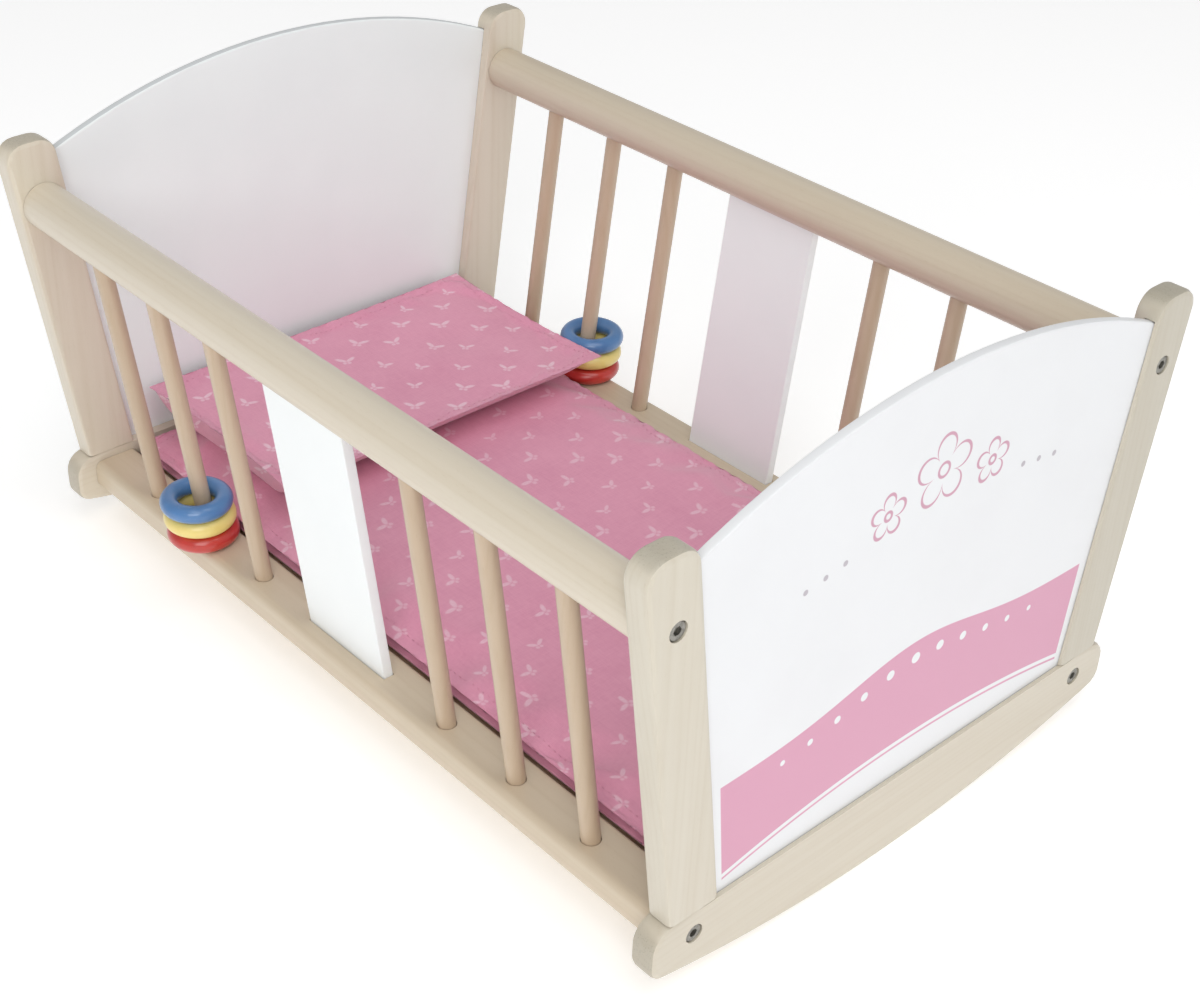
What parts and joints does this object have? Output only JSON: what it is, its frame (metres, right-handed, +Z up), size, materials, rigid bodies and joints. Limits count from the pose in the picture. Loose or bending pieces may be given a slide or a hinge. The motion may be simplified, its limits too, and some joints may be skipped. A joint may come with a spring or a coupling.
{
  "type": "doll cradle",
  "caption": "Rocking doll cradle with leaning posts, arched end panels, barred sides, sliding rings on a bar of each side, and a mattress, blanket and pillow.",
  "frame": {"origin": "on the floor under the middle of the cradle, at the bottom of the rockers", "axes": "+Z up, +Y from the painted foot end to the head end, +X to the right seen from the foot end"},
  "size_m": [0.3578, 0.5, 0.267],
  "materials": {
    "pale_wood": "pale close-grained hardwood, clear satin lacquer",
    "white_paint": "thin board, white satin paint",
    "dowel_wood": "plain birch dowel",
    "thin_ply": "bare thin plywood",
    "bolt_steel": "dark plated steel",
    "nut_steel": "zinc plated steel",
    "ring_red": "red gloss lacquer over wood",
    "ring_yellow": "yellow gloss lacquer over wood",
    "ring_blue": "blue gloss lacquer over wood",
    "mattress_cotton": "pink woven cotton over thin wadding",
    "blanket_cotton": "pink woven cotton with a small white print",
    "pillow_cotton": "pink woven cotton with a small white print"
  },
  "bodies": {
    "cradle_frame": {"base_board": "thin_ply", "rocker_foot": "pale_wood", "panel_foot": "white_paint", "post_foot_left": "pale_wood", "bolt_top_foot_left": "bolt_steel", "nut_top_foot_left": "nut_steel", "bolt_bottom_foot_left": "bolt_steel", "nut_bottom_foot_left": "nut_steel", "dowel_foot_left_inner": "dowel_wood", "dowel_foot_left_outer": "dowel_wood", "post_foot_right": "pale_wood", "bolt_top_foot_right": "bolt_steel", "nut_top_foot_right": "nut_steel", "bolt_bottom_foot_right": "bolt_steel", "nut_bottom_foot_right": "nut_steel", "dowel_foot_right_inner": "dowel_wood", "dowel_foot_right_outer": "dowel_wood", "rocker_head": "pale_wood", "panel_head": "white_paint", "post_head_left": "pale_wood", "bolt_top_head_left": "bolt_steel", "nut_top_head_left": "nut_steel", "bolt_bottom_head_left": "bolt_steel", "nut_bottom_head_left": "nut_steel", "dowel_head_left_inner": "dowel_wood", "dowel_head_left_outer": "dowel_wood", "post_head_right": "pale_wood", "bolt_top_head_right": "bolt_steel", "nut_top_head_right": "nut_steel", "bolt_bottom_head_right": "bolt_steel", "nut_bottom_head_right": "nut_steel", "dowel_head_right_inner": "dowel_wood", "dowel_head_right_outer": "dowel_wood", "top_rail_left": "pale_wood", "bottom_rail_left": "pale_wood", "slat_left": "white_paint", "spindle_left_1": "pale_wood", "spindle_left_2": "pale_wood", "spindle_left_3": "pale_wood", "spindle_left_4": "pale_wood", "spindle_left_5": "pale_wood", "spindle_left_6": "pale_wood", "top_rail_right": "pale_wood", "bottom_rail_right": "pale_wood", "slat_right": "white_paint", "spindle_right_1": "pale_wood", "spindle_right_2": "pale_wood", "spindle_right_3": "pale_wood", "spindle_right_4": "pale_wood", "spindle_right_5": "pale_wood", "spindle_right_6": "pale_wood"},
    "ring_left_red": {"ring_left_red": "ring_red"},
    "ring_left_yellow": {"ring_left_yellow": "ring_yellow"},
    "ring_left_blue": {"ring_left_blue": "ring_blue"},
    "ring_right_red": {"ring_right_red": "ring_red"},
    "ring_right_yellow": {"ring_right_yellow": "ring_yellow"},
    "ring_right_blue": {"ring_right_blue": "ring_blue"},
    "mattress": {"mattress": "mattress_cotton"},
    "blanket": {"blanket": "blanket_cotton"},
    "pillow": {"pillow": "pillow_cotton"}
  },
  "joints": [
    {"name": "slide_left_red", "type": "slide", "parent": "cradle_frame", "child": "ring_left_red", "axis": [-0.1287, 0, 0.9917], "range_m": [0, 0.04]},
    {"name": "slide_left_yellow", "type": "slide", "parent": "ring_left_red", "child": "ring_left_yellow", "axis": [-0.1287, 0, 0.9917], "range_m": [0, 0.04]},
    {"name": "slide_left_blue", "type": "slide", "parent": "ring_left_yellow", "child": "ring_left_blue", "axis": [-0.1287, 0, 0.9917], "range_m": [0, 0.04]},
    {"name": "slide_right_red", "type": "slide", "parent": "cradle_frame", "child": "ring_right_red", "axis": [0.1287, 0, 0.9917], "range_m": [0, 0.04]},
    {"name": "slide_right_yellow", "type": "slide", "parent": "ring_right_red", "child": "ring_right_yellow", "axis": [0.1287, 0, 0.9917], "range_m": [0, 0.04]},
    {"name": "slide_right_blue", "type": "slide", "parent": "ring_right_yellow", "child": "ring_right_blue", "axis": [0.1287, 0, 0.9917], "range_m": [0, 0.04]},
    {"name": "lift_mattress", "type": "slide", "parent": "cradle_frame", "child": "mattress", "axis": [0, 0, 1], "range_m": [0, 0.25]},
    {"name": "lift_blanket", "type": "slide", "parent": "mattress", "child": "blanket", "axis": [0, 0, 1], "range_m": [0, 0.25]},
    {"name": "lift_pillow", "type": "slide", "parent": "blanket", "child": "pillow", "axis": [0, 0, 1], "range_m": [0, 0.25]}
  ]
}
